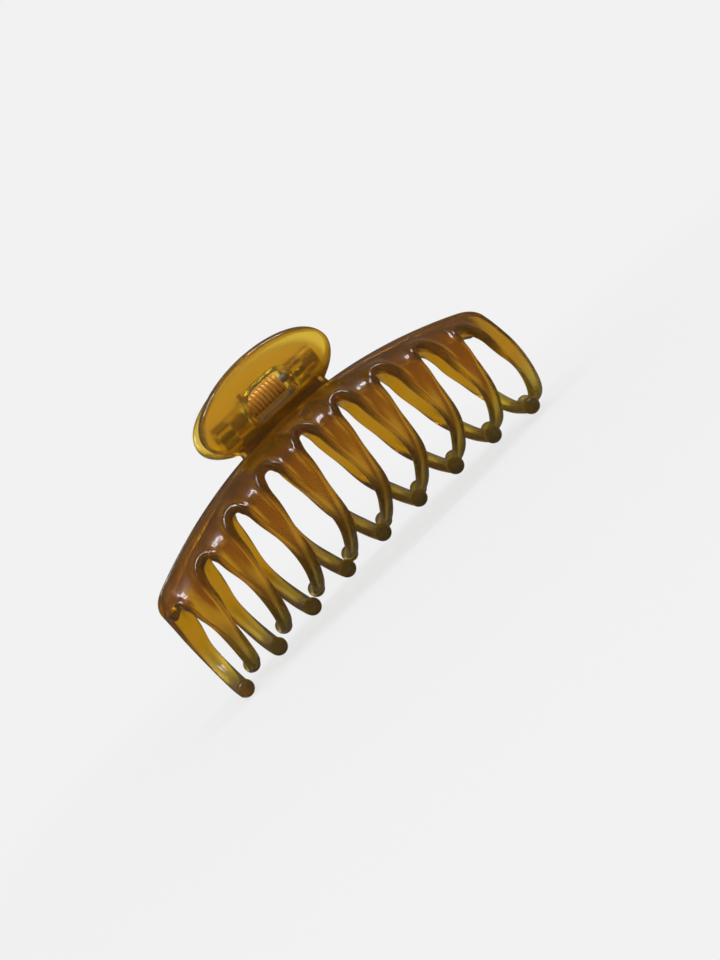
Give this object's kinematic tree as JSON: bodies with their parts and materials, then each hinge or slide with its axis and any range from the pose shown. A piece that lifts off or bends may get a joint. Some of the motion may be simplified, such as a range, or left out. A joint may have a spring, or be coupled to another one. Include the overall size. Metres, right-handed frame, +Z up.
{
  "type": "hair claw clip",
  "caption": "Large hair claw in clear amber plastic: two bowed jaws of hooked tines that interlace, with finger plates, a hinge pin and a torsion spring that closes them.",
  "frame": {"origin": "on the ground under the middle of the closed claw, which stands on the ball ends of its tines", "axes": "+X along the claw and along the hinge pin, +Y from the front jaw to the rear jaw, +Z up from the tines to the finger plates"},
  "size_m": [0.1094, 0.0442, 0.0604],
  "materials": {
    "amber_plastic": "high gloss, translucent amber-olive, darker where it is thick",
    "pin_steel": "plain drawn steel",
    "spring_wire": "copper-toned drawn wire"
  },
  "bodies": {
    "rear": {"rear_jaw": "amber_plastic", "hinge_pin": "pin_steel", "torsion_spring": "spring_wire"},
    "front": {"front_jaw": "amber_plastic"}
  },
  "joints": [
    {"name": "jaw_hinge", "type": "hinge", "parent": "rear", "child": "front", "pos_m": [0, 0, 0.0496], "axis": [-1, 0, 0], "range_deg": [0, 88], "stiffness_Nm_per_rad": 0.07, "springref_deg": -40.11, "deforming": ["torsion_spring"]}
  ]
}
